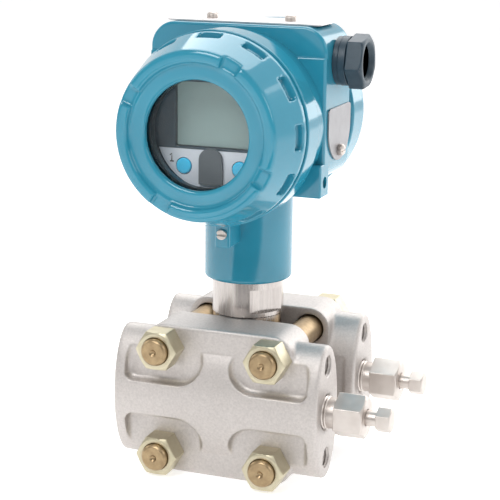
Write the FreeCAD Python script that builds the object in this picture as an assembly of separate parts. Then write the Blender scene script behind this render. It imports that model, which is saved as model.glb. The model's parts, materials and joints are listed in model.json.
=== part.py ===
import FreeCAD, Part
import math
import os

# Differential pressure transmitter: a sensor cell clamped between two process flanges,
# with a turning housing on its neck that holds the display, electronics and terminals.
# Everything is modelled about the neck axis, with height zero at the process ports, and
# moved at the end so that the origin lies in the centre of the left process face.
# X runs along the ports, Y from the display to the terminals, Z up. Millimetres.

# Process flanges
port_spacing = 54.0
end_hole_pitch = 41.3
flange_length = 94.7
bar_height = 59.4
bar_depth = 29.6
stud_pitch_x = 49.6
stud_pitch_z = 47.9
lobe_radius = 9.6
plate_outer = 9.5
plate_inner = 13.4
plate_edge_round = 1.5
bar_end_round = 1.5
pocket_band = 15.4
pocket_web = 12.6
pocket_rim = 5.2
pocket_inner_round = 11.0
pocket_outer_round = 3.5
pocket_floor_round = 2.2
port_radius = 6.85
port_depth = 16.0
port_mouth_radius = 8.6
passage_radius = 2.5
chamber_radius = 17.0
chamber_depth = 1.5
end_hole_radius = 4.5
end_hole_depth = 13.0

# Studs and nuts
stud_radius = 6.0
stud_hole_clearance = 0.6
stud_end_length = 2.5
stud_end_chamfer = 1.0
stud_dimple_radius = 1.6
nut_across_flats = 16.6
nut_height = 10.2
nut_bore_clearance = 0.1

# Sensor cell and its neck
cell_radius = 26.0
gasket_inner_radius = 19.4
gasket_width = 3.0
gasket_thickness = 1.8
gasket_clearance = 0.1
diaphragm_radius = 16.0
diaphragm_thickness = 0.5
diaphragm_recess = 1.2
diaphragm_wave = 0.35
diaphragm_wave_half = 1.0
diaphragm_wave_radii = (12.0, 7.2)
stem_radius = 15.5
stem_clearance = 0.5
neck_radius = 16.0
neck_flat_width = 27.0
neck_flat_turn = 56.0
neck_flat_rise = 1.8
neck_flat_height = 10.5
neck_gap = 0.6
neck_groove = 0.5
neck_groove_radius = 14.0
neck_length = 15.5
spigot_radius = 14.5
spigot_reach = 4.0
spigot_bore_radius = 8.0
neck_seal_width = 1.8
neck_seal_height = 2.4
neck_seal_rise = 8.0

# Vent valves
valve_thread_clearance = 0.1
valve_thread_length = 10.0
valve_shank_length = 5.0
valve_across_flats = 17.0
valve_hex_length = 12.8
vent_bore_radius = 3.7
vent_leak_radius = 1.5
vent_bore_depth = 14.0
vent_stem_length = 4.8
vent_head_across_flats = 9.5
vent_head_length = 6.2
vent_tip_gap = 0.4

# Clearance round anything that turns or slides
running_clearance = 0.08
moving_clearance = 0.3

# Screw heads and hexagons
screw_clearance = 0.1
driver_slot = 0.9
slot_reach = 4.0
hexagon_land = 0.4
hexagon_chamfer = 30.0
hexagon_turn = 30.0

# Housing casting
head_rise = 71.55
collar_radius = 41.0
front_mouth = 40.8
front_collar_length = 13.8
rear_mouth = 34.8
rear_collar_length = 14.3
collar_edge_round = 1.4
collar_mouth_round = 0.6
collar_step = 1.5
body_end_step = 0.5
body_depth = 34.5
body_top_rise = 1.9
body_top_round = 11.0
body_bottom_drop = 25.0
body_bottom_round = 9.0
body_edge_round = 1.2
ledge_drop = 12.2
ledge_width = 1.0
collar_wall = 4.4
cavity_step = 2.6
thread_bore_depth = 10.7
wall_front = 14.0
wall_thickness = 3.5
housing_neck_radius = 19.6
housing_neck_round = 1.5
wire_bore_radius = 8.0
casting_round = 0.8
lock_boss_width = 6.7
lock_boss_front = 32.0
lock_boss_drop = 6.0
lock_screw_gap = 5.3
lock_screw_radius = 1.8
lock_screw_head_radius = 2.2
lock_screw_head_height = 1.4
lock_boss_bury = 3.0
lug_depth = 10.9
lug_front = 21.2
lug_length = 15.0
lug_height = 14.2
lug_drop = 29.8
lug_hole_radius = 2.5
lug_hole_rise = 6.2
lug_hole_depth = 9.0
seal_margin = 1.2
seal_width = 1.6
seal_depth = 1.2

# Covers
cover_taper = 5.85
cover_rim_step = 0.65
cover_length = 22.7
cover_rim_length = 3.2
cover_edge_round = 2.0
cover_rim_round = 0.8
cover_spigot_length = 9.2
cover_wall = 4.8
slot_count = 12
slot_angle = 15.0
slot_turn = 0.0
slot_front = 13.8
slot_length = 5.2
slot_depth = 3.55
notch_count = 4
notch_angle = 14.5
notch_turn = 27.5
ring_rim_width = 4.9
ring_recess = 2.4
ring_crest_round = 1.2
ring_floor_round = 1.0
ring_lip_round = 1.2
window_radius = 22.45
glass_radius = 25.4
glass_thickness = 4.8
glass_seat = 5.0
glass_clearance = 0.2
retainer_thickness = 3.0
retainer_inner_radius = 22.7
rear_cover_length = 17.0
rear_slot_start = 4.0
rear_cover_taper = 4.35
rear_cover_wall = 4.0
rear_cover_recess = 1.0

# Display and electronics
display_front = 43.7
display_clearance = 2.0
display_gap = 4.0
board_thickness = 1.6
display_case_depth = 12.4
lcd_half_width = 16.7
lcd_low = 7.5
lcd_high = 19.5
lcd_depth = 4.0
lcd_thickness = 2.0
lcd_clearance = 0.3
face_radius = 25.2
face_drop = 8.45
face_thickness = 0.5
tab_width = 10.4
tab_low = 22.6
tab_high = 7.6
tab_round = 4.8
tab_thickness = 1.8
button_angle = 38.7
button_margin = 1.55
button_radius = 3.35
button_proud = 1.2
button_travel = 0.8
button_chamfer = 0.5
switch_height = 1.8
switch_radius = 2.6
board_gap = 7.0
spacer_radius = 2.5
spacer_inset = 4.0
spacer_count = 3
terminal_width = 44.0
terminal_height = 28.0
terminal_depth = 12.0
terminal_gap = 1.4
terminal_pitch = 13.0
terminal_rib = 2.0
terminal_screw_radius = 3.2
terminal_screw_height = 1.8

# Cable gland and blanking plug
conduit_drop = 14.9
conduit_radius = 8.0
conduit_thread_clearance = 0.1
gland_thread_length = 12.0
gland_flange_radius = 10.3
gland_flange_length = 2.4
gland_collar_radius = 10.5
gland_collar_length = 3.1
gland_neck_radius = 7.6
gland_neck_length = 5.0
gland_nut_across_flats = 20.8
gland_nut_length = 7.4
gland_nut_angle = -17.0
gland_mouth_radius = 8.4
gland_bore_radius = 5.6
grommet_wall = 1.3
plug_length = 10.0
plug_socket_across_flats = 8.0
plug_socket_depth = 6.0

# Plates
plate_end_margin = 5.0
plate_depth = 24.0
plate_thickness = 0.8
plate_corner_round = 3.0
plate_screw_pitch = 36.0
plate_screw_radius = 1.5
plate_screw_length = 4.0
plate_screw_head_radius = 2.5
plate_screw_head_height = 2.4
plate_screw_head_chamfer = 0.8
tag_front = 14.0
tag_depth = 30.4
tag_top = 7.0
tag_height = 23.2
tag_top_round = 2.0
tag_bottom_round = 15.0
tag_screw_rise = 4.3

# Places worked out from the sizes above
port_y = port_spacing / 2
flange_half = flange_length / 2
stud_x = stud_pitch_x / 2
stud_z = stud_pitch_z / 2
outer_y = port_y + plate_outer
cell_y = port_y - plate_inner
plate_top = stud_z + lobe_radius
pocket_end = flange_half - pocket_rim
stud_hole_radius = stud_radius + stud_hole_clearance
stud_half = outer_y + nut_height + stud_end_length
neck_low = plate_top + neck_gap
neck_top = neck_low + neck_length
neck_flat_low = neck_low + neck_flat_rise
housing_low = neck_top + moving_clearance
head_height = neck_top + head_rise
barrel_radius = collar_radius - collar_step
thread_bore_radius = collar_radius - collar_wall
cavity_radius = thread_bore_radius - cavity_step
seal_inner_radius = collar_radius - seal_margin - seal_width
cover_rim_radius = collar_radius - cover_rim_step
cover_front_radius = cover_rim_radius - cover_taper
rear_cover_front_radius = cover_rim_radius - rear_cover_taper
slot_floor_radius = cover_rim_radius - slot_depth
lock_screw_height = head_height - collar_radius - lock_screw_gap
lock_boss_low = lock_screw_height - lock_boss_drop
spigot_length = lock_screw_height + spigot_reach - neck_top
lug_low = head_height - lug_drop
body_half_width = barrel_radius + body_end_step
plate_length = 2 * (body_half_width - plate_end_margin)
body_top = head_height + barrel_radius + body_top_rise
ledge_z = body_top - ledge_drop
conduit_z = body_top - conduit_drop
front_cover_rear = -front_mouth - moving_clearance
front_cover_front = front_cover_rear - cover_length
rear_cover_start = rear_mouth + moving_clearance
spigot_ring_radius = thread_bore_radius - moving_clearance
cover_bore_radius = spigot_ring_radius - cover_wall
display_radius = cavity_radius - display_gap
spacer_circle = display_radius - spacer_inset
wall_rear = wall_front - wall_thickness
main_board_rear = wall_front + board_gap
case_rear = display_front - display_case_depth
display_board_rear = case_rear - board_thickness
button_hole_radius = button_radius + moving_clearance
button_reach = face_radius - button_margin - button_hole_radius
button_x = button_reach * math.sin(math.radians(button_angle))
button_z = head_height - button_reach * math.cos(math.radians(button_angle))
terminal_half = terminal_width / 2
terminal_low = math.sqrt((cavity_radius - terminal_gap) ** 2 - terminal_half ** 2)
terminal_z = head_height - terminal_low + terminal_height / 2
main_board_front = main_board_rear + board_thickness
glass_pocket_radius = glass_radius + glass_clearance
gland_thread_radius = conduit_radius - conduit_thread_clearance
gland_shoulder = body_half_width + gland_flange_length + gland_collar_length
grommet_radius = gland_bore_radius + grommet_wall
valve_end = flange_half + valve_shank_length + valve_hex_length
vent_stem_radius = vent_bore_radius - moving_clearance
tag_middle = tag_depth / 2 - tag_front
tag_screw_z = head_height + tag_top - tag_height + tag_screw_rise
seal_place = FreeCAD.Vector(0, 0, neck_top + neck_seal_rise)
UP = FreeCAD.Vector(0, 0, 1)
ALONG = FreeCAD.Vector(1, 0, 0)
BACK = FreeCAD.Vector(0, 1, 0)


def point(x, y, z):
    return FreeCAD.Vector(x, y, z)


def box(x, y, z):
    """Block between the low and high values given for each axis."""
    size = [x[1] - x[0], y[1] - y[0], z[1] - z[0]]
    return Part.makeBox(size[0], size[1], size[2], point(x[0], y[0], z[0]))


def rod(radius, start, direction, length):
    return Part.makeCylinder(radius, length, start, direction)


def tube(outer, inner, start, direction, length):
    return rod(outer, start, direction, length).cut(rod(inner, start, direction, length))


def outline(corners):
    """Flat face through corners given as (u, v), with a third number where a corner is rounded."""
    bends = []
    for step, corner in enumerate(corners):
        here = point(corner[0], corner[1], 0)
        following = corners[(step + 1) % len(corners)]
        to_last = point(corners[step - 1][0], corners[step - 1][1], 0) - here
        to_next = point(following[0], following[1], 0) - here
        to_last.normalize()
        to_next.normalize()
        radius = corner[2] if len(corner) > 2 else 0
        half = to_last.getAngle(to_next) / 2
        inward = to_last + to_next
        if radius > 0:
            inward.normalize()
        reach = radius / math.tan(half)
        middle = here + inward * (radius / math.sin(half) - radius)
        bends.append((here + to_last * reach, middle, here + to_next * reach, radius))
    edges = []
    for step, (first, middle, last, radius) in enumerate(bends):
        if radius > 0:
            edges.append(Part.Arc(first, middle, last).toShape())
        edges.append(Part.LineSegment(last, bends[(step + 1) % len(bends)][0]).toShape())
    return Part.Face(Part.Wire(edges))


def turned(profile, height, angle=360.0, turn=0.0):
    """Turn an outline of (radius, y) points about a front-to-back axis at the given height.

    A part turn is centred on an angle counted clockwise from the top, seen from the front.
    """
    face = outline(profile)
    face.Placement = FreeCAD.Placement(point(0, 0, height), FreeCAD.Rotation(UP, BACK, ALONG * -1, "XYZ"))
    centre = point(0, 0, height)
    if angle < 360:
        face.rotate(centre, BACK, turn - angle / 2)
    return face.revolve(centre, BACK, angle)


def hexagon(across_flats, start, direction, length, turn=0.0):
    """Six-sided bar with a flat facing along the turned reference direction."""
    corner = across_flats / math.sqrt(3)
    corners = []
    for step in range(7):
        angle = math.radians(60 * step + 30 + turn)
        corners.append(point(corner * math.cos(angle), corner * math.sin(angle), 0))
    bar = Part.Face(Part.makePolygon(corners)).extrude(point(0, 0, length))
    bar.Placement = FreeCAD.Placement(start, FreeCAD.Rotation(UP, direction))
    return bar


def chamfered_hexagon(across_flats, start, direction, length, turn=hexagon_turn):
    """Hexagon bar whose far corners are turned off at a shallow angle."""
    land = across_flats / 2 - hexagon_land
    spread = length / math.tan(math.radians(hexagon_chamfer))
    cone = Part.makeCone(land + spread, land, length, start, direction)
    return hexagon(across_flats, start, direction, length, turn).common(cone)


def rounded_outline(low, high, rounds):
    """Rectangle outline in a plane, with its own corner radius at each corner in turn."""
    corners = [(low[0], low[1]), (high[0], low[1]), (high[0], high[1]), (low[0], high[1])]
    return outline([(u, v, radius) for (u, v), radius in zip(corners, rounds)])


def upright_slab(low, high, rounds, y):
    """Rounded rectangle in X and Z, as thick as the two Y values."""
    face = rounded_outline(low, high, rounds)
    face.rotate(point(0, 0, 0), ALONG, 90)
    face.translate(point(0, y[0], 0))
    return face.extrude(point(0, y[1] - y[0], 0))


def side_slab(low, high, rounds, x):
    """Rounded rectangle in Y and Z, as thick as the two X values."""
    face = rounded_outline(low, high, rounds)
    face.rotate(point(0, 0, 0), FreeCAD.Vector(1, 1, 1), 120)
    face.translate(point(x[0], 0, 0))
    return face.extrude(point(x[1] - x[0], 0, 0))


def edges_at(shape, test):
    return [edge for edge in shape.Edges if test(edge)]


def eased(block, radius):
    """Round every edge of a block."""
    return block.makeFillet(radius, block.Edges)


def mirrored(shape):
    """The same piece on the other side of the cell."""
    return shape.mirror(point(0, 0, 0), BACK)


def save(name, pieces):
    """Move a piece, or a group of like pieces, to the process face and write it."""
    solids = []
    for piece in pieces if isinstance(pieces, list) else [pieces]:
        solids.extend(piece.Solids)
    shape = solids[0] if len(solids) == 1 else Part.makeCompound(solids)
    shape.translate(point(flange_half, 0, 0))
    shape.exportStep("parts/" + name + ".step")


def process_flange():
    """Oval bar with a lobed plate across its middle, pocketed round the nuts."""
    centre = point(-flange_half, -port_y, 0)
    oval = Part.Ellipse(centre + point(0, 0, bar_height / 2), centre + point(0, bar_depth / 2, 0), centre)
    bar = Part.Face(Part.Wire(oval.toShape())).extrude(point(flange_length, 0, 0))
    rims = edges_at(bar, lambda edge: edge.BoundBox.XLength < bar_end_round)
    bar = bar.makeFillet(bar_end_round, rims)

    far = bar_height
    cuts = []
    for side in (-1, 1):
        for level in (-1, 1):
            low = (pocket_web / 2, pocket_band / 2)
            high = (pocket_end, far)
            rounds = (pocket_inner_round, pocket_outer_round, 0, 0)
            pocket = upright_slab(low, high, rounds, (-outer_y - far, -outer_y))
            floor = edges_at(pocket, lambda edge: edge.BoundBox.YMin > -outer_y - pocket_floor_round)
            pocket = pocket.makeFillet(pocket_floor_round, floor)
            if side < 0:
                pocket = pocket.mirror(point(0, 0, 0), ALONG)
            if level < 0:
                pocket = pocket.mirror(point(0, 0, 0), UP)
            cuts.append(pocket)
    cuts.append(box((-pocket_end, pocket_end), (-cell_y, far), (-far, far)))
    bar = bar.cut(cuts)

    half_width = stud_x + lobe_radius
    corner = (half_width, plate_top)
    plate = upright_slab((-corner[0], -corner[1]), corner, [lobe_radius] * 4, (-outer_y, -cell_y))
    front_rim = edges_at(plate, lambda edge: edge.BoundBox.YMax < -outer_y + plate_edge_round)
    plate = plate.makeFillet(plate_edge_round, front_rim)
    flange = plate.fuse(bar).removeSplitter()

    holes = [rod(passage_radius, centre, ALONG, flange_length)]
    holes.append(rod(passage_radius, point(0, -port_y, 0), BACK, plate_inner))
    holes.append(rod(chamber_radius, point(0, -cell_y - chamber_depth, 0), BACK, chamber_depth))
    for side in (-1, 1):
        face_x = side * flange_half
        inward = point(-side, 0, 0)
        mouth_depth = port_mouth_radius - port_radius
        holes.append(rod(port_radius, point(face_x, -port_y, 0), inward, port_depth))
        mouth = Part.makeCone(port_mouth_radius, port_radius, mouth_depth, point(face_x, -port_y, 0), inward)
        holes.append(mouth)
        for level in (-1, 1):
            height = level * end_hole_pitch / 2
            holes.append(rod(end_hole_radius, point(face_x, -port_y, height), inward, end_hole_depth))
            stud_start = point(side * stud_x, -outer_y, level * stud_z)
            holes.append(rod(stud_hole_radius, stud_start, BACK, outer_y - cell_y))
    return flange.cut(holes)


def stud_places():
    return [(side * stud_x, level * stud_z) for level in (1, -1) for side in (-1, 1)]


def studs():
    """Turned rods with chamfered ends and a centre-drilled dimple in each end."""
    pieces = []
    for x, z in stud_places():
        stud = rod(stud_radius, point(x, -stud_half, z), BACK, 2 * stud_half)
        rims = edges_at(stud, lambda edge: edge.BoundBox.YLength < stud_end_chamfer)
        stud = stud.makeChamfer(stud_end_chamfer, rims)
        for end in (-1, 1):
            tip = point(x, end * stud_half, z)
            stud = stud.cut(Part.makeCone(stud_dimple_radius, 0, stud_dimple_radius, tip, BACK * -end))
        pieces.append(stud)
    return pieces


def nuts():
    """Hexagon nuts with a flat towards the top, front and rear."""
    pieces = []
    for x, z in stud_places():
        start = point(x, -outer_y, z)
        nut = chamfered_hexagon(nut_across_flats, start, BACK * -1, nut_height)
        nut = nut.cut(rod(stud_radius + nut_bore_clearance, start, BACK * -1, nut_height))
        pieces.append(nut)
        pieces.append(mirrored(nut))
    return pieces


def sensor_cell():
    """Round cell with a stem and a flatted neck above it, and the spigot the housing turns on."""
    cell = rod(cell_radius, point(0, -cell_y, 0), BACK, 2 * cell_y)
    stem_y = cell_y - stem_clearance
    stem = rod(stem_radius, point(0, 0, 0), UP, neck_low - neck_groove)
    stem = stem.fuse(rod(neck_groove_radius, point(0, 0, 0), UP, neck_low))
    stem = stem.common(box((-stem_radius, stem_radius), (-stem_y, stem_y), (0, neck_low)))
    neck = rod(neck_radius, point(0, 0, neck_low), UP, neck_top - neck_low)
    spigot = rod(spigot_radius, point(0, 0, neck_top), UP, spigot_length)
    body = cell.fuse([stem, neck, spigot]).removeSplitter()

    cuts = [rod(spigot_bore_radius, point(0, 0, neck_low), UP, neck_top + spigot_length - neck_low)]
    for side in (0, 180):
        flat_x = (neck_flat_width / 2, neck_radius + neck_gap)
        flat_z = (neck_flat_low, neck_flat_low + neck_flat_height)
        flat = box(flat_x, (-neck_radius, neck_radius), flat_z)
        flat.rotate(point(0, 0, 0), UP, neck_flat_turn - 90 + side)
        cuts.append(flat)
    groove_outer = gasket_inner_radius + gasket_width + gasket_clearance
    groove_inner = gasket_inner_radius - gasket_clearance
    groove = tube(groove_outer, groove_inner, point(0, -cell_y, 0), BACK, gasket_thickness)
    recess_radius = diaphragm_radius + gasket_clearance
    recess = rod(recess_radius, point(0, -cell_y, 0), BACK, diaphragm_recess)
    for cut in (groove, recess):
        cuts.extend([cut, mirrored(cut)])
    seal_floor = spigot_radius - neck_seal_width - gasket_clearance
    cuts.append(tube(spigot_radius, seal_floor, seal_place, UP, neck_seal_height))
    return body.cut(cuts)


def neck_seal():
    return tube(spigot_radius, spigot_radius - neck_seal_width, seal_place, UP, neck_seal_height)


def diaphragm():
    """Thin disc with two ring waves, lying in the recess of the cell's front face."""
    floor = diaphragm_recess - cell_y
    face = floor - diaphragm_thickness
    crest = face - diaphragm_wave
    profile = [(0, floor), (diaphragm_radius, floor), (diaphragm_radius, face)]
    half = diaphragm_wave_half
    for ring in diaphragm_wave_radii:
        profile.extend([(ring + half, face), (ring, crest), (ring - half, face)])
    profile.append((0, face))
    return turned(profile, 0)


def process_gasket():
    outer = gasket_inner_radius + gasket_width
    return tube(outer, gasket_inner_radius, point(0, -cell_y, 0), BACK, gasket_thickness)


def vent_valve():
    """Threaded shank and hexagon body, bored for the vent screw."""
    thread_start = point(flange_half - valve_thread_length, -port_y, 0)
    shank_radius = port_radius - valve_thread_clearance
    shank = rod(shank_radius, thread_start, ALONG, valve_thread_length + valve_shank_length)
    hex_start = point(flange_half + valve_shank_length, -port_y, 0)
    body = shank.fuse(chamfered_hexagon(valve_across_flats, hex_start, ALONG, valve_hex_length))
    bore = rod(vent_bore_radius, point(valve_end, -port_y, 0), ALONG * -1, vent_bore_depth)
    leak = rod(vent_leak_radius, thread_start, ALONG, valve_end - thread_start.x)
    return body.removeSplitter().cut([bore, leak])


def vent_screw():
    """Pointed stem with a small hexagon head."""
    tip_x = valve_end - vent_bore_depth + vent_tip_gap
    head_x = valve_end + vent_stem_length
    cone_length = vent_stem_radius - vent_leak_radius
    tip = Part.makeCone(vent_leak_radius, vent_stem_radius, cone_length, point(tip_x, -port_y, 0), ALONG)
    stem_start = point(tip_x + cone_length, -port_y, 0)
    stem = rod(vent_stem_radius, stem_start, ALONG, head_x - stem_start.x)
    head_start = point(head_x, -port_y, 0)
    head = chamfered_hexagon(vent_head_across_flats, head_start, ALONG, vent_head_length)
    return tip.fuse([stem, head]).removeSplitter()


def housing():
    """Casting with two round mouths, a flat-topped cross body, a neck, a lock boss and an earth lug."""
    collar_front_end = front_collar_length - front_mouth
    collar_rear_start = rear_mouth - rear_collar_length
    barrel = turned([
        (0, -front_mouth),
        (collar_radius, -front_mouth, collar_mouth_round),
        (collar_radius, collar_front_end, collar_edge_round),
        (barrel_radius, collar_front_end),
        (barrel_radius, collar_rear_start),
        (collar_radius, collar_rear_start, collar_edge_round),
        (collar_radius, rear_mouth, collar_mouth_round),
        (0, rear_mouth),
    ], head_height)

    half_depth = body_depth / 2
    low = (-body_half_width, head_height - body_bottom_drop)
    high = (body_half_width, ledge_z)
    rounds = (body_bottom_round, body_bottom_round, 0, 0)
    lower = upright_slab(low, high, rounds, (-half_depth, half_depth))
    low = (-body_half_width, head_height)
    high = (body_half_width, body_top)
    rounds = (0, 0, body_top_round, body_top_round)
    top_depth = half_depth - ledge_width
    upper = upright_slab(low, high, rounds, (-top_depth, top_depth))

    neck = rod(housing_neck_radius, point(0, 0, housing_low), UP, head_height - housing_low)
    neck_rim = edges_at(neck, lambda edge: edge.BoundBox.ZMax < housing_low + housing_neck_round)
    neck = neck.makeFillet(housing_neck_round, neck_rim)
    boss_x = (-lock_boss_width / 2, lock_boss_width / 2)
    boss_top = head_height - collar_radius + lock_boss_bury
    boss = box(boss_x, (-lock_boss_front, -spigot_radius), (lock_boss_low, boss_top))
    lug_x = (body_half_width - lug_length, body_half_width)
    lug = box(lug_x, (-lug_front, lug_depth - lug_front), (lug_low, lug_low + lug_height))
    limbs = [eased(lower, body_edge_round), eased(upper, body_edge_round), neck]
    limbs.extend([eased(boss, casting_round), eased(lug, casting_round)])
    casting = barrel.fuse(limbs).removeSplitter()

    centre = point(0, 0, head_height)
    mouth_length = front_mouth - wall_front
    cuts = [rod(cavity_radius, centre - BACK * front_mouth, BACK, mouth_length)]
    cuts.append(rod(thread_bore_radius, centre - BACK * front_mouth, BACK, thread_bore_depth))
    cuts.append(rod(cavity_radius, centre - BACK * wall_rear, BACK, wall_rear + rear_mouth))
    cuts.append(rod(thread_bore_radius, centre + BACK * rear_mouth, BACK * -1, thread_bore_depth))
    for y, inward in ((-front_mouth, BACK), (rear_mouth, BACK * -1)):
        seal_outer = seal_inner_radius + seal_width
        cuts.append(tube(seal_outer, seal_inner_radius, centre + BACK * y, inward, seal_depth))
    neck_bore = spigot_radius + running_clearance
    neck_bore_length = neck_top + spigot_length + neck_gap - housing_low
    cuts.append(rod(neck_bore, point(0, 0, housing_low), UP, neck_bore_length))
    wire_length = head_height - housing_low - neck_bore_length
    cuts.append(rod(wire_bore_radius, point(0, 0, housing_low + neck_bore_length), UP, wire_length))
    lock_start = point(0, -lock_boss_front, lock_screw_height)
    cuts.append(rod(lock_screw_radius + screw_clearance, lock_start, BACK, lock_boss_front))
    for side in (-1, 1):
        entry = point(side * body_half_width, 0, conduit_z)
        cuts.append(rod(conduit_radius, entry, ALONG * -side, body_half_width - conduit_radius))
    lug_hole = point(body_half_width, lug_depth / 2 - lug_front, lug_low + lug_hole_rise)
    cuts.append(rod(lug_hole_radius, lug_hole, ALONG * -1, lug_hole_depth))
    for x in (-plate_screw_pitch / 2, plate_screw_pitch / 2):
        hole = point(x, 0, body_top)
        cuts.append(rod(plate_screw_radius + screw_clearance, hole, UP * -1, plate_screw_length))
    tag_hole = point(body_half_width, tag_middle, tag_screw_z)
    cuts.append(rod(plate_screw_radius + screw_clearance, tag_hole, ALONG * -1, plate_screw_length))
    return casting.cut(cuts)


def cover_seal(y, inward):
    start = point(0, y, head_height)
    return tube(seal_inner_radius + seal_width, seal_inner_radius, start, inward, seal_depth)


def lock_screw():
    """Slotted screw through the boss, its tip just short of the spigot."""
    tip = -spigot_radius - moving_clearance
    start = point(0, -lock_boss_front, lock_screw_height)
    shank = rod(lock_screw_radius, start, BACK, lock_boss_front + tip)
    head = rod(lock_screw_head_radius, start, BACK * -1, lock_screw_head_height)
    return slotted(shank.fuse(head).removeSplitter(), start - BACK * lock_screw_head_height, BACK)


def front_cover():
    """Threaded ring with a raised, notched rim round the window and a slotted tapering side."""
    front = front_cover_front
    rear = front_cover_rear
    rim_inner = cover_front_radius - ring_rim_width
    floor = front + ring_recess
    cover = turned([
        (rim_inner, front, ring_crest_round),
        (cover_front_radius, front, cover_edge_round),
        (cover_rim_radius, rear - cover_rim_length, cover_edge_round),
        (cover_rim_radius, rear, cover_rim_round),
        (spigot_ring_radius, rear),
        (spigot_ring_radius, rear + cover_spigot_length),
        (cover_bore_radius, rear + cover_spigot_length),
        (cover_bore_radius, -display_front - display_clearance),
        (glass_pocket_radius, -display_front - display_clearance),
        (glass_pocket_radius, front + glass_seat),
        (window_radius, front + glass_seat),
        (window_radius, floor, ring_lip_round),
        (rim_inner, floor, ring_floor_round),
    ], head_height)
    cuts = []
    for step in range(notch_count):
        wedge = [(rim_inner, front), (cover_rim_radius, front), (cover_rim_radius, floor), (rim_inner, floor)]
        cuts.append(turned(wedge, head_height, notch_angle, notch_turn + step * 360 / notch_count))
    return cover.cut(cuts + grip_slots(front + slot_front))


def grip_slots(start):
    """Rectangular recesses all round a cover's side, for a wrench."""
    outer = cover_rim_radius + cover_rim_length
    end = start + slot_length
    wedge = [(slot_floor_radius, start), (outer, start), (outer, end), (slot_floor_radius, end)]
    pitch = 360 / slot_count
    return [turned(wedge, head_height, slot_angle, slot_turn + step * pitch) for step in range(slot_count)]


def window_glass():
    seat = front_cover_front + glass_seat
    return rod(glass_radius, point(0, seat, head_height), BACK, glass_thickness)


def window_retainer():
    start = front_cover_front + glass_seat + glass_thickness
    return tube(glass_radius, retainer_inner_radius, point(0, start, head_height), BACK, retainer_thickness)


def rear_cover():
    """Blind cover with the same grip slots, over the terminals."""
    start = rear_cover_start
    end = start + rear_cover_length
    dish = rear_cover_front_radius - ring_rim_width
    face = end - rear_cover_recess
    cover = turned([
        (0, face),
        (dish, face),
        (dish + rear_cover_recess, end),
        (rear_cover_front_radius, end, cover_edge_round),
        (cover_rim_radius, start + cover_rim_length, cover_edge_round),
        (cover_rim_radius, start, cover_rim_round),
        (spigot_ring_radius, start),
        (spigot_ring_radius, start - cover_spigot_length),
        (cover_bore_radius, start - cover_spigot_length),
        (cover_bore_radius, face - rear_cover_wall),
        (0, face - rear_cover_wall),
    ], head_height)
    return cover.cut(grip_slots(start + rear_slot_start))


def button_holes(y):
    """Bores for the two buttons through the display, between two Y values."""
    starts = [point(side * button_x, y[0], button_z) for side in (-1, 1)]
    return [rod(button_hole_radius, start, BACK, y[1] - y[0]) for start in starts]


def display_case():
    """Moulded drum with a sunk window for the LCD and two button bores."""
    case = rod(display_radius, point(0, -display_front, head_height), BACK, display_case_depth)
    lcd_z = (head_height - lcd_low, head_height + lcd_high)
    sunk = box((-lcd_half_width, lcd_half_width), (-display_front, lcd_depth - display_front), lcd_z)
    return case.cut([sunk] + button_holes((-display_front, -case_rear)))


def lcd_glass():
    half = lcd_half_width - lcd_clearance
    back = lcd_depth - display_front
    low = head_height - lcd_low + lcd_clearance
    high = head_height + lcd_high - lcd_clearance
    return box((-half, half), (back - lcd_thickness, back), (low, high))


def display_face():
    """Label plate over the lower part of the display, with holes for the buttons."""
    y = (-display_front - face_thickness, -display_front)
    plate = rod(face_radius, point(0, y[0], head_height), BACK, face_thickness)
    top = head_height - face_drop
    plate = plate.cut(box((-face_radius, face_radius), y, (top, head_height + face_radius)))
    return plate.cut(button_holes(y))


def display_tab():
    """Dark round-topped tab standing on the label plate."""
    low = (-tab_width / 2, head_height - tab_low)
    high = (tab_width / 2, head_height - tab_high)
    back = -display_front - face_thickness
    return upright_slab(low, high, (0, 0, tab_round, tab_round), (back - tab_thickness, back))


def push_button(side):
    """Round cap in its bore, free to travel before it meets the switch."""
    start = point(side * button_x, -display_front - button_proud, button_z)
    stop = -case_rear - switch_height - button_travel - moving_clearance
    button = rod(button_radius, start, BACK, stop - start.y)
    rim = edges_at(button, lambda edge: edge.BoundBox.YMax < start.y + button_chamfer)
    return button.makeChamfer(button_chamfer, rim)


def button_switches():
    starts = [point(side * button_x, -case_rear, button_z) for side in (-1, 1)]
    return [rod(switch_radius, start, BACK * -1, switch_height) for start in starts]


def round_board(radius, rear, thickness):
    return rod(radius, point(0, -rear - thickness, head_height), BACK, thickness)


def spacers(front, rear):
    """Posts on one circle that carry a board."""
    posts = []
    for step in range(spacer_count):
        angle = math.radians(90 + step * 360 / spacer_count)
        x = spacer_circle * math.cos(angle)
        z = head_height + spacer_circle * math.sin(angle)
        posts.append(rod(spacer_radius, point(x, -front, z), BACK, front - rear))
    return posts


def terminal_places():
    back = terminal_depth - wall_rear
    return [point(step * terminal_pitch, back - terminal_rib, terminal_z) for step in (-1, 0, 1)]


def terminal_block():
    """Moulded block on the rear of the wall, with a rib between its terminals."""
    z = (terminal_z - terminal_height / 2, terminal_z + terminal_height / 2)
    block = box((-terminal_half, terminal_half), (-wall_rear, terminal_depth - wall_rear), z)
    bays = []
    bay = terminal_pitch / 2 - terminal_rib / 2
    for place in terminal_places():
        bays.append(box((place.x - bay, place.x + bay), (place.y, place.y + terminal_rib), z))
    return block.cut(bays)


def terminal_screws():
    pieces = []
    for place in terminal_places():
        head = rod(terminal_screw_radius, place, BACK, terminal_screw_height)
        pieces.append(slotted(head, place + BACK * terminal_screw_height, BACK * -1))
    return pieces


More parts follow.
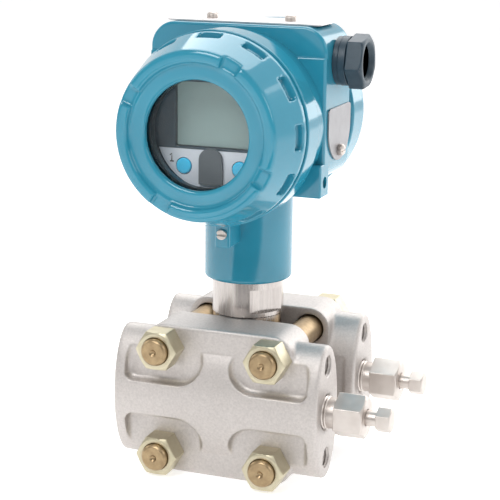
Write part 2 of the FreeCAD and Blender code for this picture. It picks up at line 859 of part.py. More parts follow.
def gland_body():
    """Threaded spigot, flange, collar and hollow neck of the cable gland."""
    face = point(body_half_width, 0, conduit_z)
    collar_start = face + ALONG * gland_flange_length
    shoulder = point(gland_shoulder, 0, conduit_z)
    spigot = rod(gland_thread_radius, face, ALONG * -1, gland_thread_length)
    flange = rod(gland_flange_radius, face, ALONG, gland_flange_length)
    collar = rod(gland_collar_radius, collar_start, ALONG, gland_collar_length)
    neck = rod(gland_neck_radius, shoulder, ALONG, gland_neck_length)
    body = spigot.fuse([flange, collar, neck]).removeSplitter()
    bore_start = face - ALONG * gland_thread_length
    bore = rod(gland_bore_radius, bore_start, ALONG, shoulder.x - bore_start.x)
    seat = rod(grommet_radius + gasket_clearance, shoulder, ALONG, gland_neck_length)
    return body.cut([bore, seat])


def gland_grommet():
    start = point(gland_shoulder, 0, conduit_z)
    return tube(grommet_radius, gland_bore_radius, start, ALONG, gland_neck_length)


def gland_nut():
    """Six-sided cap with a flared mouth for the cable, turned a little on the neck."""
    start = point(gland_shoulder + moving_clearance, 0, conduit_z)
    turn = hexagon_turn + gland_nut_angle
    nut = chamfered_hexagon(gland_nut_across_flats, start, ALONG, gland_nut_length, turn)
    hollow = rod(gland_neck_radius + moving_clearance, start, ALONG, gland_neck_length)
    inside = start + ALONG * gland_neck_length
    flare = gland_nut_length - gland_neck_length
    mouth = Part.makeCone(grommet_radius, gland_mouth_radius, flare, inside, ALONG)
    return nut.cut([hollow, mouth])


def conduit_plug():
    """Blanking plug with a hexagon socket, flush with the left end."""
    start = point(-body_half_width, 0, conduit_z)
    plug = rod(gland_thread_radius, start, ALONG, plug_length)
    return plug.cut(hexagon(plug_socket_across_flats, start, ALONG, plug_socket_depth))


def top_plate():
    half = (plate_length / 2, plate_depth / 2)
    plate = rounded_outline((-half[0], -half[1]), half, [plate_corner_round] * 4)
    plate.translate(point(0, 0, body_top))
    plate = plate.extrude(point(0, 0, plate_thickness))
    holes = []
    for x in (-plate_screw_pitch / 2, plate_screw_pitch / 2):
        holes.append(rod(plate_screw_radius + screw_clearance, point(x, 0, body_top), UP, plate_thickness))
    return plate.cut(holes)


def plate_screw(seat, outward):
    """Slotted pan-head screw, its head standing on the seat."""
    shank = rod(plate_screw_radius, seat, outward * -1, plate_screw_length)
    head = rod(plate_screw_head_radius, seat, outward, plate_screw_head_height)
    rim_from = plate_screw_head_height - plate_screw_head_chamfer
    rim = edges_at(head, lambda edge: (edge.CenterOfMass - seat).dot(outward) > rim_from)
    head = head.makeChamfer(plate_screw_head_chamfer, rim[:1])
    tip = seat + outward * plate_screw_head_height
    return slotted(shank.fuse(head).removeSplitter(), tip, outward * -1)


def slotted(screw, face, inward):
    """Cut a straight driver slot across a screw's face."""
    across = ALONG if abs(inward.x) < 0.5 else BACK
    slot = box((-slot_reach, slot_reach), (-driver_slot / 2, driver_slot / 2), (0, driver_slot))
    turn = FreeCAD.Rotation(across, inward.cross(across), inward, "ZXY")
    slot.Placement = FreeCAD.Placement(face, turn)
    return screw.cut(slot)


def side_tag():
    """Thin plate with a round lower end, on the right end of the housing."""
    low = (-tag_front, head_height + tag_top - tag_height)
    high = (tag_depth - tag_front, head_height + tag_top)
    rounds = (tag_bottom_round, tag_bottom_round, tag_top_round, tag_top_round)
    x = (body_half_width, body_half_width + plate_thickness)
    plate = side_slab(low, high, rounds, x)
    seat = point(x[0], tag_middle, tag_screw_z)
    hole = rod(plate_screw_radius + screw_clearance, seat, ALONG, plate_thickness)
    return plate.cut(hole)


os.makedirs("parts", exist_ok=True)
front_flange = process_flange()
save("front_flange", front_flange)
save("rear_flange", mirrored(front_flange))
save("flange_studs", studs())
save("flange_nuts", nuts())
save("sensor_cell", sensor_cell())
save("neck_seal", neck_seal())
front_diaphragm = diaphragm()
save("front_diaphragm", front_diaphragm)
save("rear_diaphragm", mirrored(front_diaphragm))
front_gasket = process_gasket()
save("front_gasket", front_gasket)
save("rear_gasket", mirrored(front_gasket))
front_vent_valve = vent_valve()
save("front_vent_valve", front_vent_valve)
save("rear_vent_valve", mirrored(front_vent_valve))
front_vent_screw = vent_screw()
save("front_vent_screw", front_vent_screw)
save("rear_vent_screw", mirrored(front_vent_screw))

save("housing", housing())
save("front_cover_seal", cover_seal(-front_mouth, BACK))
save("rear_cover_seal", cover_seal(rear_mouth, BACK * -1))
save("neck_lock_screw", lock_screw())
save("front_cover", front_cover())
save("window_glass", window_glass())
save("window_retainer", window_retainer())
save("rear_cover", rear_cover())

save("display_case", display_case())
save("lcd_glass", lcd_glass())
save("display_face", display_face())
save("display_tab", display_tab())
save("button_1", push_button(-1))
save("button_2", push_button(1))
save("button_switches", button_switches())
save("display_board", round_board(display_radius, display_board_rear, board_thickness))
save("display_spacers", spacers(display_board_rear, main_board_front))
save("main_board", round_board(display_radius, main_board_rear, board_thickness))
save("main_spacers", spacers(main_board_rear, wall_front))
save("terminal_block", terminal_block())
save("terminal_screws", terminal_screws())

save("gland_body", gland_body())
save("gland_grommet", gland_grommet())
save("gland_nut", gland_nut())
save("conduit_plug", conduit_plug())
save("top_plate", top_plate())
plate_seats = [point(side * plate_screw_pitch / 2, 0, body_top + plate_thickness) for side in (-1, 1)]
save("top_plate_screws", [plate_screw(seat, UP) for seat in plate_seats])
save("side_tag", side_tag())
tag_seat = point(body_half_width + plate_thickness, tag_middle, tag_screw_z)
save("side_tag_screw", plate_screw(tag_seat, ALONG))
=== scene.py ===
import json
import math
import bmesh
import bpy
from mathutils import Matrix, Vector

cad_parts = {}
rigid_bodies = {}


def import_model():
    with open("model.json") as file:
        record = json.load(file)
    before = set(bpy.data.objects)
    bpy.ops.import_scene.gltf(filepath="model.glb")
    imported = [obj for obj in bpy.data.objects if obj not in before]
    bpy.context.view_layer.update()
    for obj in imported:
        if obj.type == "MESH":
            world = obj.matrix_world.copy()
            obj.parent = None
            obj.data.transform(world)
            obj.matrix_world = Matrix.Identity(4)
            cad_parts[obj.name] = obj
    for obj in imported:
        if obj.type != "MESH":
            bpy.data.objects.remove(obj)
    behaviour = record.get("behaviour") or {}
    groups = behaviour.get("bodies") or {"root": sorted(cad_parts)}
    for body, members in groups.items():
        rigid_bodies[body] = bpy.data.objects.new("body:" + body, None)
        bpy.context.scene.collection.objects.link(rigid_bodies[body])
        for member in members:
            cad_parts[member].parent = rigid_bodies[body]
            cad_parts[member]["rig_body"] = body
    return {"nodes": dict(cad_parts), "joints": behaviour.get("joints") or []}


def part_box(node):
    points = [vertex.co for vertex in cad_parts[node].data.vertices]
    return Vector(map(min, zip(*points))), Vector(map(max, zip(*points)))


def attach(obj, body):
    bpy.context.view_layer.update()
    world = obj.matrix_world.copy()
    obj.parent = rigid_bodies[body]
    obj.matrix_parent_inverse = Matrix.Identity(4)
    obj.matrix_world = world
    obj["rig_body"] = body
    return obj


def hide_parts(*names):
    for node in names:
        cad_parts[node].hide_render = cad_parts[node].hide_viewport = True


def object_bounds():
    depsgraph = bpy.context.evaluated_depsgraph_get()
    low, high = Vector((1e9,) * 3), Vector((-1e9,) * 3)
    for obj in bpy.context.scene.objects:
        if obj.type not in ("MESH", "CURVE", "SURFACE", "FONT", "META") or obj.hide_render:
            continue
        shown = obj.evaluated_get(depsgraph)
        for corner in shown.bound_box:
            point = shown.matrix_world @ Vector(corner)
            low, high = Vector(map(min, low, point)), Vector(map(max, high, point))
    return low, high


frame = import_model()
cad_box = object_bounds()

# Process flanges
# Two stainless steel castings, bead-blasted to a fine satin grain, that clamp the cell between them.
# A mould leaves no sharp corner, so the lobes, pockets and ears are softened all along their edges.
mm = 0.001
flange_grid = 0.6 * mm
flange_smoothing = 2
flange_light = (0.63, 0.59, 0.565)
flange_shade = (0.54, 0.505, 0.485)
port_y = 27.0 * mm
hole_z = 20.65 * mm
hole_mouth = 0.8 * mm
hole_depth = 8.4 * mm
hole_pitch = 1.4 * mm
hole_root = 4.55 * mm
hole_crest = 4.15 * mm


def settle(mesh, name, body, nodes=()):
    """Put a mesh into the scene as one smooth-shaded piece that rides on a body."""
    crease = math.radians(35)
    mesh.polygons.foreach_set("use_smooth", [True] * len(mesh.polygons))
    mesh.set_sharp_from_angle(angle=crease)
    piece = bpy.data.objects.new("finished_" + name, mesh)
    bpy.context.scene.collection.objects.link(piece)
    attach(piece, body)
    if nodes:
        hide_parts(*nodes)
    even = piece.modifiers.new("even_shading", "WEIGHTED_NORMAL")
    even.keep_sharp = True
    return piece


def cast(node, grid, smoothing):
    """A piece with the form of a node as a mould leaves it, every corner softened."""
    mould = bpy.data.objects.new("mould", frame["nodes"][node].data)
    bpy.context.scene.collection.objects.link(mould)
    skin = mould.modifiers.new("skin", "REMESH")
    skin.mode = "VOXEL"
    skin.voxel_size = grid
    soft = mould.modifiers.new("soft", "SMOOTH")
    soft.factor = 0.5
    soft.iterations = smoothing
    mesh = bpy.data.meshes.new_from_object(mould.evaluated_get(bpy.context.evaluated_depsgraph_get()))
    bpy.data.objects.remove(mould)
    mesh.materials.clear()
    return settle(mesh, node, frame["nodes"][node]["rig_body"], [node])


class Finish:
    """One procedural material: a shader with grain, tool marks and relief read from the piece's own place."""

    pattern_low = 0.3
    pattern_high = 0.7

    def __init__(self, name, metal=0.0, rough=0.4, **sockets):
        self.material = bpy.data.materials.new(name)
        self.material.use_nodes = True
        self.tree = self.material.node_tree
        self.shader = self.tree.nodes["Principled BSDF"]
        self.shader.inputs["Metallic"].default_value = metal
        self.shader.inputs["Roughness"].default_value = rough
        for socket, value in sockets.items():
            self.shader.inputs[socket.replace("_", " ")].default_value = value
        self.place = self.tree.nodes.new("ShaderNodeTexCoord").outputs["Object"]

    def grain(self, size, detail=3.0, stretch=(1, 1, 1)):
        """Cloudy noise whose spots are about as large as the size given, or longer along a stretched axis."""
        noise = self.tree.nodes.new("ShaderNodeTexNoise")
        noise.inputs["Scale"].default_value = 1 / size
        noise.inputs["Detail"].default_value = detail
        spread = self.tree.nodes.new("ShaderNodeMapping")
        spread.inputs["Scale"].default_value = [1 / axis for axis in stretch]
        self.tree.links.new(self.place, spread.inputs["Vector"])
        self.tree.links.new(spread.outputs["Vector"], noise.inputs["Vector"])
        return noise.outputs["Fac"]

    def bands(self, pitch, direction, waver=0.6):
        """Fine parallel tool marks across one axis."""
        pitch_at_scale_one = 0.314
        wave = self.tree.nodes.new("ShaderNodeTexWave")
        wave.wave_type = "BANDS"
        wave.bands_direction = direction
        wave.inputs["Scale"].default_value = pitch_at_scale_one / pitch
        wave.inputs["Distortion"].default_value = waver
        wave.inputs["Detail"].default_value = 2.0
        self.tree.links.new(self.place, wave.inputs["Vector"])
        return wave.outputs["Fac"]

    def colour(self, fac, low, high):
        """Colour that runs between two tones with a pattern."""
        ramp = self.tree.nodes.new("ShaderNodeValToRGB")
        ramp.color_ramp.elements[0].position = self.pattern_low
        ramp.color_ramp.elements[1].position = self.pattern_high
        ramp.color_ramp.elements[0].color = (*low, 1)
        ramp.color_ramp.elements[1].color = (*high, 1)
        self.tree.links.new(fac, ramp.inputs["Fac"])
        self.tree.links.new(ramp.outputs["Color"], self.shader.inputs["Base Color"])

    def roughness(self, fac, low, high):
        """Gloss that runs between two values with a pattern."""
        spread = self.tree.nodes.new("ShaderNodeMapRange")
        spread.inputs["From Min"].default_value = self.pattern_low
        spread.inputs["From Max"].default_value = self.pattern_high
        spread.inputs["To Min"].default_value = low
        spread.inputs["To Max"].default_value = high
        self.tree.links.new(fac, spread.inputs["Value"])
        self.tree.links.new(spread.outputs["Result"], self.shader.inputs["Roughness"])

    def relief(self, *layers):
        """Bump from one or more patterns, each with its own height."""
        below = None
        for fac, height in layers:
            bump = self.tree.nodes.new("ShaderNodeBump")
            bump.inputs["Distance"].default_value = height
            self.tree.links.new(fac, bump.inputs["Height"])
            if below:
                self.tree.links.new(below, bump.inputs["Normal"])
            below = bump.outputs["Normal"]
        self.tree.links.new(below, self.shader.inputs["Normal"])


def paint(piece, finish):
    """Give a piece its finish as its one material."""
    piece.data.materials.clear()
    piece.data.materials.append(finish.material)


def thread(name, body, start, direction, length, pitch, low, high):
    """Screw thread drawn as a closed sleeve of rings, its plain side sunk into the metal."""
    sides = 48
    along = Vector(direction)
    aside = along.orthogonal().normalized()
    across = along.cross(aside)
    turns = round(length / pitch)
    sunk = low - (high - low)
    profile = [(0, sunk)]
    for step in range(2 * turns + 1):
        profile.append((pitch * step / 2, high if step % 2 else low))
    profile.append((pitch * turns, sunk))
    points = []
    for reach, radius in profile:
        for side in range(sides):
            angle = 2 * math.pi * side / sides
            spoke = aside * math.cos(angle) + across * math.sin(angle)
            points.append(Vector(start) + along * reach + spoke * radius)
    faces = []
    for ring in range(len(profile)):
        here, beyond = ring * sides, (ring + 1) % len(profile) * sides
        for side in range(sides):
            beside = (side + 1) % sides
            faces.append((here + side, here + beside, beyond + beside, beyond + side))
    mesh = bpy.data.meshes.new(name)
    mesh.from_pydata(points, [], faces)
    form = bmesh.new()
    form.from_mesh(mesh)
    bmesh.ops.recalc_face_normals(form, faces=form.faces)
    form.to_mesh(mesh)
    form.free()
    return settle(mesh, name, body)


cast_steel = Finish("cast_steel", metal=0.85, rough=0.5)
cast_steel.colour(cast_steel.grain(0.9 * mm, detail=4.0), flange_shade, flange_light)
cast_steel.roughness(cast_steel.grain(1.0 * mm), 0.48, 0.60)
cast_steel.relief((cast_steel.grain(0.45 * mm, detail=2.0), 0.06 * mm))
for node in ("front_flange", "rear_flange"):
    paint(cast(node, flange_grid, flange_smoothing), cast_steel)
flange_body = frame["nodes"]["front_flange"]["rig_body"]
flange_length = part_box("front_flange")[1].x
for y in (-port_y, port_y):
    for z in (-hole_z, hole_z):
        for x, inward in ((0, 1), (flange_length, -1)):
            mouth = (x + inward * hole_mouth, y, z)
            screw = thread(
                "hole_thread", flange_body, mouth, (inward, 0, 0), hole_depth, hole_pitch, hole_root, hole_crest
            )
            paint(screw, cast_steel)

# Sensor cell
# A stainless steel cell turned from bar, with a wrench-flatted neck above the flanges and a spigot
# that the housing turns on. The neck was drawn bright, which leaves faint upright streaks.


def bright_steel(name, streaks, gloss, dark, light):
    """Bright steel whose faint marks are drawn out along the given stretch."""
    steel = Finish(name, metal=1.0, rough=gloss[0])
    steel.colour(steel.grain(1.6 * mm, detail=1.0, stretch=streaks), dark, light)
    steel.roughness(steel.grain(0.7 * mm, detail=2.0, stretch=streaks), *gloss)
    return steel


steel_drawn = bright_steel(
    "drawn_steel", streaks=(1, 1, 40), gloss=(0.20, 0.30),
    dark=(0.45, 0.415, 0.395), light=(0.54, 0.50, 0.475)
)
steel_turned = bright_steel(
    "turned_steel", streaks=(3, 3, 3), gloss=(0.38, 0.46),
    dark=(0.60, 0.545, 0.505), light=(0.66, 0.605, 0.565)
)
paint(frame["nodes"]["sensor_cell"], steel_drawn)
for node in ("front_diaphragm", "rear_diaphragm"):
    paint(frame["nodes"][node], steel_turned)

# Seals
# Black nitrile rings, moulded and slightly dull: one round each diaphragm, one on the spigot and one
# under each cover.
rubber = Finish("seal_rubber", rough=0.7)
rubber.colour(rubber.grain(2 * mm), (0.018, 0.018, 0.018), (0.035, 0.035, 0.035))
rubber.relief((rubber.grain(0.4 * mm), 0.02 * mm))
for node in ("front_gasket", "rear_gasket", "neck_seal", "front_cover_seal", "rear_cover_seal"):
    paint(frame["nodes"][node], rubber)

# Studs and nuts
# Four through studs and eight hexagon nuts of steel, zinc plated and yellow passivated. The studs took
# the passivation to a warm gold, the nuts only a pale tint.
stud_edge = 0.25 * mm
nut_edge = 0.3 * mm


def finished(node, edge):
    """A piece with the form of a node, its flats made whole and its sharp edges rounded."""
    weld = 0.0005 * mm
    flat = math.radians(0.4)
    sharp = math.radians(28)
    form = bmesh.new()
    form.from_mesh(frame["nodes"][node].data)
    bmesh.ops.remove_doubles(form, verts=form.verts, dist=weld)
    bmesh.ops.dissolve_limit(form, angle_limit=flat, verts=form.verts, edges=form.edges)
    corners = [line for line in form.edges if line.is_manifold]
    corners = [line for line in corners if line.calc_face_angle() > sharp]
    bmesh.ops.bevel(
        form, geom=corners, offset=edge, offset_type="OFFSET", segments=3, profile=0.5, affect="EDGES"
    )
    bmesh.ops.triangulate(form, faces=[face for face in form.faces if len(face.verts) > 4])
    mesh = bpy.data.meshes.new("finished_" + node)
    form.to_mesh(mesh)
    form.free()
    return settle(mesh, node, frame["nodes"][node]["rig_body"], [node])


gold = Finish("stud_steel", metal=1.0, rough=0.36)
gold.colour(gold.grain(2.5 * mm), (0.33, 0.235, 0.135), (0.44, 0.325, 0.19))
gold.roughness(gold.grain(0.8 * mm), 0.32, 0.42)
gold.relief((gold.bands(0.5 * mm, "Y"), 0.008 * mm), (gold.grain(0.5 * mm), 0.015 * mm))
zinc = Finish("nut_zinc", metal=1.0, rough=0.34)
zinc.colour(zinc.grain(5 * mm), (0.56, 0.505, 0.36), (0.63, 0.575, 0.43))
zinc.roughness(zinc.grain(0.9 * mm), 0.38, 0.48)
zinc.relief((zinc.grain(0.7 * mm), 0.012 * mm))
paint(finished("flange_studs", stud_edge), gold)
paint(finished("flange_nuts", nut_edge), zinc)

# Vent valves
# Hexagon bodies turned from stainless bar and screwed into the right-hand ports, each with a small
# vent screw in its end. The last threads show between the flange and the hexagon.
valve_edge = 0.3 * mm
vent_edge = 0.25 * mm
valve_thread_start = flange_length - 1.2 * mm
valve_thread_length = 2.4 * mm
valve_thread_pitch = 1.2 * mm
valve_thread_root = 6.7 * mm
valve_thread_crest = 7.2 * mm
for side, y in (("front", -port_y), ("rear", port_y)):
    paint(finished(side + "_vent_valve", valve_edge), steel_turned)
    paint(finished(side + "_vent_screw", vent_edge), steel_turned)
    screw = thread(
        "valve_thread", frame["nodes"][side + "_vent_valve"]["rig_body"], (valve_thread_start, y, 0), (1, 0, 0),
        valve_thread_length, valve_thread_pitch, valve_thread_root, valve_thread_crest
    )
    paint(screw, steel_turned)

# Housing
# An aluminium casting with two round mouths, a flat-topped cross body and a neck, sprayed with teal
# gloss enamel that flows round its edges. The lacquer over it mirrors the room clearly.
lock_screw_edge = 0.2 * mm
teal = Finish("teal_paint", Specular_IOR_Level=0.0, Coat_Weight=1.0, Coat_Roughness=0.11, Coat_IOR=1.62)
teal.colour(teal.grain(24 * mm), (0.020, 0.222, 0.325), (0.028, 0.250, 0.360))
teal.relief((teal.grain(2.2 * mm, detail=1.0), 0.010 * mm))
paint(frame["nodes"]["housing"], teal)
paint(finished("neck_lock_screw", lock_screw_edge), steel_turned)

# Covers
# Screwed rings of the same painted casting: the front one carries the window, the rear one is blind.
# Both have wrench slots round their sides, and the front one has four notches in its face.
cover_grid = 0.55 * mm
cover_smoothing = 3
for node in ("front_cover", "rear_cover"):
    paint(cast(node, cover_grid, cover_smoothing), teal)

# Window
# Toughened glass disc held in the front cover by a blued steel ring. The disc shows mostly as a
# thin mirror over the display.
glass = Finish("window_glass", metal=1.0, rough=0.02, Alpha=0.02)
glass.colour(glass.grain(30 * mm), (0.88, 0.92, 0.92), (0.95, 0.97, 0.97))
blued_steel = Finish("blued_steel", metal=1.0, rough=0.4)
blued_steel.colour(blued_steel.grain(2 * mm), (0.030, 0.075, 0.095), (0.050, 0.105, 0.130))
paint(frame["nodes"]["window_glass"], glass)
paint(frame["nodes"]["window_retainer"], blued_steel)

# Display
# A black moulded drum with a sunk liquid-crystal panel, a pale printed label plate below it, a dark
# round-topped tab and two blue push-buttons, numbered on the label.
case_edge = 0.3 * mm
tab_edge = 0.25 * mm
button_edge = 0.2 * mm
numeral_reach = 18.05 * mm
numeral_foot = 107.0 * mm
numeral_stroke = 0.26 * mm
numeral_thickness = 0.1
numerals = {
    "1": (-1, [[(-0.8, 2.7), (0.1, 3.4), (0.1, 0.2)], [(-0.8, 0.2), (1.0, 0.2)]]),
    "2": (1, [[
        (-1.0, 2.6), (-0.6, 3.2), (0, 3.4), (0.7, 3.2), (0.9, 2.5), (0.5, 1.7), (-1.0, 0.2), (1.0, 0.2)
    ]]),
}
case_plastic = Finish("case_plastic", rough=0.5)
case_plastic.colour(case_plastic.grain(4 * mm), (0.008, 0.034, 0.056), (0.012, 0.046, 0.072))
case_plastic.relief((case_plastic.grain(0.4 * mm), 0.015 * mm))
lcd = Finish("lcd_panel", rough=0.3)
lcd.colour(lcd.grain(40 * mm, detail=1.0), (0.25, 0.36, 0.35), (0.28, 0.40, 0.385))
label = Finish("face_plastic", rough=0.45)
label.colour(label.grain(12 * mm), (0.66, 0.71, 0.77), (0.72, 0.77, 0.83))
tab_plastic = Finish("tab_plastic", rough=0.45)
tab_plastic.colour(tab_plastic.grain(3 * mm), (0.065, 0.085, 0.10), (0.08, 0.10, 0.115))
button_blue = Finish("button_plastic", rough=0.35)
button_blue.colour(button_blue.grain(3 * mm), (0.02, 0.60, 0.96), (0.03, 0.64, 1.0))
ink = Finish("numeral_ink", rough=0.6)
ink.colour(ink.grain(1 * mm), (0.03, 0.03, 0.035), (0.05, 0.05, 0.055))
paint(finished("display_case", case_edge), case_plastic)
paint(frame["nodes"]["lcd_glass"], lcd)
paint(frame["nodes"]["display_face"], label)
paint(finished("display_tab", tab_edge), tab_plastic)
for node in ("button_1", "button_2"):
    paint(finished(node, button_edge), button_blue)
label_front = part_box("display_face")[0].y
for digit, (side, lines) in numerals.items():
    stroke = bpy.data.curves.new("numeral", "CURVE")
    stroke.dimensions = "3D"
    stroke.bevel_depth = numeral_stroke
    stroke.bevel_resolution = 2
    stroke.use_fill_caps = True
    for line in lines:
        run = stroke.splines.new("POLY")
        run.points.add(len(line) - 1)
        for point, (x, z) in zip(run.points, line):
            point.co = (x * mm, 0, z * mm, 1)
    written = bpy.data.objects.new("numeral", stroke)
    bpy.context.scene.collection.objects.link(written)
    mesh = bpy.data.meshes.new_from_object(written.evaluated_get(bpy.context.evaluated_depsgraph_get()))
    bpy.data.objects.remove(written)
    stand = Matrix.Translation((flange_length / 2 + side * numeral_reach, label_front, numeral_foot))
    mesh.transform(stand @ Matrix.Diagonal((1, numeral_thickness, 1, 1)))
    paint(settle(mesh, "numeral_" + digit, frame["nodes"]["display_face"]["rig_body"]), ink)

# Electronics
# Two round boards of green glass laminate on brass spacers, the switches under the buttons, and the
# black terminal block with its steel screws behind the wall.
block_edge = 0.4 * mm
terminal_edge = 0.15 * mm
board = Finish("board_green", rough=0.35)
board.colour(board.bands(2.5 * mm, "X", waver=2.0), (0.025, 0.14, 0.065), (0.04, 0.21, 0.10))
board.relief((board.grain(1.0 * mm), 0.03 * mm))
for node in ("display_board", "main_board"):
    paint(frame["nodes"][node], board)
for node in ("display_spacers", "main_spacers"):
    paint(frame["nodes"][node], gold)
paint(frame["nodes"]["button_switches"], tab_plastic)
block_black = Finish("block_plastic", rough=0.42)
block_black.colour(block_black.grain(3 * mm), (0.035, 0.037, 0.045), (0.055, 0.057, 0.068))
block_black.relief((block_black.grain(0.5 * mm), 0.02 * mm))
paint(finished("terminal_block", block_edge), block_black)
paint(finished("terminal_screws", terminal_edge), steel_turned)

# Cable gland and blanking plug
# A black moulded gland in the right-hand entry, its dome nut loosely turned, and a steel plug in the
# left-hand entry.
gland_edge = 0.3 * mm
gland_nut_edge = 0.5 * mm
plug_edge = 0.3 * mm
gland_black = Finish("gland_plastic", rough=0.42)
gland_black.colour(gland_black.grain(3 * mm), (0.018, 0.040, 0.060), (0.028, 0.056, 0.078))
gland_black.relief((gland_black.grain(0.5 * mm), 0.015 * mm))
paint(finished("gland_body", gland_edge), gland_black)
paint(finished("gland_nut", gland_nut_edge), gland_black)
paint(frame["nodes"]["gland_grommet"], rubber)
paint(finished("conduit_plug", plug_edge), steel_turned)

# Plates
# Thin plates cut from stainless sheet, the upper one brushed along its length. Screws hold one on top
# of the housing and the other on its right end.
plate_edge = 0.15 * mm
plate_screw_edge = 0.15 * mm
plate_steel = Finish("plate_steel", metal=0.9, rough=0.35)
plate_steel.colour(plate_steel.grain(8 * mm), (0.70, 0.68, 0.68), (0.78, 0.76, 0.76))
plate_steel.relief((plate_steel.grain(0.3 * mm, detail=2.0, stretch=(20, 1, 1)), 0.004 * mm))
paint(finished("top_plate", plate_edge), plate_steel)
# The side tag is cut from the same stainless sheet as the top plate. Its much darker colour is painted shade,
# not the steel's own tone.
tag_steel_painted_shade = Finish("tag_steel_painted_shade", metal=0.9, rough=0.42)
tag_steel_painted_shade.colour(tag_steel_painted_shade.grain(8 * mm), (0.30, 0.295, 0.305), (0.35, 0.345, 0.355))
paint(finished("side_tag", plate_edge), tag_steel_painted_shade)
paint(finished("top_plate_screws", plate_screw_edge), steel_turned)
paint(finished("side_tag_screw", plate_screw_edge), steel_turned)

# Floor
# A wide pale sheet lit from below, as on a photographer's light table, so that it stays white and
# only catches soft shade. It glows most behind the object on the right.
floor_reach = 4.0
floor_level = cad_box[0].z - 0.05 * mm
glow_place = Vector((0.45, 0.55, floor_level))
glow_near = 0.3
glow_far = 1.3
glow_bright = 0.6
glow_dim = 0.56
floor_mesh = bpy.data.meshes.new("floor")
floor_mesh.from_pydata(
    [(-floor_reach, -floor_reach, floor_level), (floor_reach, -floor_reach, floor_level),
     (floor_reach, floor_reach, floor_level), (-floor_reach, floor_reach, floor_level)],
    [], [(0, 1, 2, 3)]
)
floor = bpy.data.objects.new("floor", floor_mesh)
bpy.context.scene.collection.objects.link(floor)
pale = Finish("pale_floor", rough=0.8, Emission_Color=(1, 1, 1, 1))
pale.colour(pale.grain(0.5), (0.73, 0.73, 0.73), (0.75, 0.75, 0.75))
away = pale.tree.nodes.new("ShaderNodeVectorMath")
away.operation = "DISTANCE"
away.inputs[1].default_value = glow_place
fade = pale.tree.nodes.new("ShaderNodeMapRange")
fade.interpolation_type = "SMOOTHSTEP"
fade.inputs["From Min"].default_value = glow_near
fade.inputs["From Max"].default_value = glow_far
fade.inputs["To Min"].default_value = glow_bright
fade.inputs["To Max"].default_value = glow_dim
pale.tree.links.new(pale.place, away.inputs[0])
pale.tree.links.new(away.outputs["Value"], fade.inputs["Value"])
pale.tree.links.new(fade.outputs["Result"], pale.shader.inputs["Emission Strength"])
floor.data.materials.append(pale.material)

# Studio light
# Five soft panels: a large box overhead, one behind, one at each side and one high in front. A black
# card lies before the object, seen only in its mirroring surfaces, and the pale room is brighter
# behind than in front.
middle_height = 90 * mm
card_left = -0.08
card_right = 0.50
card_near = -0.56
card_far = -0.27
card_lift = 1 * mm
room_front = 0.3
room_back = 0.95
room_fade_start = -0.3
room_fade_end = 0.6
neck_axis = Vector(next(joint["pos_m"] for joint in frame["joints"] if joint["name"] == "head_swivel"))
middle = Vector((neck_axis.x, 0, middle_height))


def soft_panel(name, place, size, brightness):
    """Square panel of even light, aimed at the middle of the object."""
    lamp = bpy.data.lights.new(name, "AREA")
    lamp.shape = "SQUARE"
    lamp.size = size
    lamp.energy = brightness * math.pi * size * size
    panel = bpy.data.objects.new(name, lamp)
    panel.location = middle + Vector(place)
    panel.rotation_euler = (-Vector(place)).to_track_quat("-Z", "Y").to_euler()
    bpy.context.scene.collection.objects.link(panel)


soft_panel("overhead_box", place=(-0.08, 0.52, 0.72), size=0.80, brightness=2.6)
soft_panel("back_panel", place=(0.60, 1.05, 0.38), size=0.85, brightness=2.2)
soft_panel("right_panel", place=(0.90, -0.35, 0.45), size=0.45, brightness=3.0)
soft_panel("left_panel", place=(-0.85, -0.10, 0.35), size=0.40, brightness=1.8)
soft_panel("front_panel", place=(-0.15, -0.90, 0.85), size=0.60, brightness=7.0)
card_mesh = bpy.data.meshes.new("black_card")
card_level = floor_level + card_lift
card_mesh.from_pydata(
    [(card_left, card_near, card_level), (card_right, card_near, card_level),
     (card_right, card_far, card_level), (card_left, card_far, card_level)],
    [], [(0, 1, 2, 3)]
)
card = bpy.data.objects.new("black_card", card_mesh)
bpy.context.scene.collection.objects.link(card)
card.visible_camera = False
card.visible_diffuse = False
card.visible_shadow = False
card_black = Finish("black_card", rough=0.9, Specular_IOR_Level=0.0)
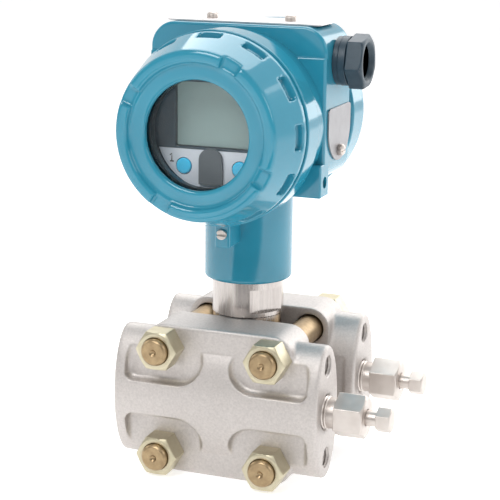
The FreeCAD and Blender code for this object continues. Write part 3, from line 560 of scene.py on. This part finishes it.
card_black.colour(card_black.grain(5 * mm), (0.01, 0.01, 0.01), (0.02, 0.02, 0.02))
card.data.materials.append(card_black.material)
room = bpy.data.worlds.new("pale_room")
room.use_nodes = True
wall = room.node_tree.nodes
facing = wall.new("ShaderNodeSeparateXYZ")
shade = wall.new("ShaderNodeMapRange")
shade.interpolation_type = "SMOOTHSTEP"
shade.inputs["From Min"].default_value = room_fade_start
shade.inputs["From Max"].default_value = room_fade_end
shade.inputs["To Min"].default_value = room_front
shade.inputs["To Max"].default_value = room_back
room.node_tree.links.new(wall.new("ShaderNodeTexCoord").outputs["Generated"], facing.inputs["Vector"])
room.node_tree.links.new(facing.outputs["Y"], shade.inputs["Value"])
room.node_tree.links.new(shade.outputs["Result"], wall["Background"].inputs["Strength"])
wall["Background"].inputs["Color"].default_value = (1, 1, 1, 1)
bpy.context.scene.world = room
bpy.context.scene.view_settings.view_transform = "Standard"

# Camera
# A long lens a little to the right of the display and above it, with the slight tilt of the photograph.
# It stands two thirds of a metre off, so that the far flange looks only a little smaller.
view_azimuth = math.radians(20.71)
view_elevation = math.radians(13.31)
view_roll = math.radians(0.71)
view_distance = 670.14 * mm
view_lens = 108.0
aim_shift = 0.69 * mm
aim_height = 61.2 * mm
aim = Vector((neck_axis.x + aim_shift, 0, aim_height))
back = Vector((
    math.sin(view_azimuth) * math.cos(view_elevation),
    -math.cos(view_azimuth) * math.cos(view_elevation),
    math.sin(view_elevation),
))
level = Vector((math.cos(view_azimuth), math.sin(view_azimuth), 0))
upright = back.cross(level)
right = level * math.cos(view_roll) + upright * math.sin(view_roll)
up = upright * math.cos(view_roll) - level * math.sin(view_roll)
lens = bpy.data.cameras.new("camera")
lens.lens = view_lens
lens.sensor_width = 36.0
lens.clip_start = 0.01
camera = bpy.data.objects.new("camera", lens)
turn = Matrix((right, up, back)).transposed().to_4x4()
camera.matrix_world = Matrix.Translation(aim + back * view_distance) @ turn
bpy.context.scene.collection.objects.link(camera)
bpy.context.scene.camera = camera
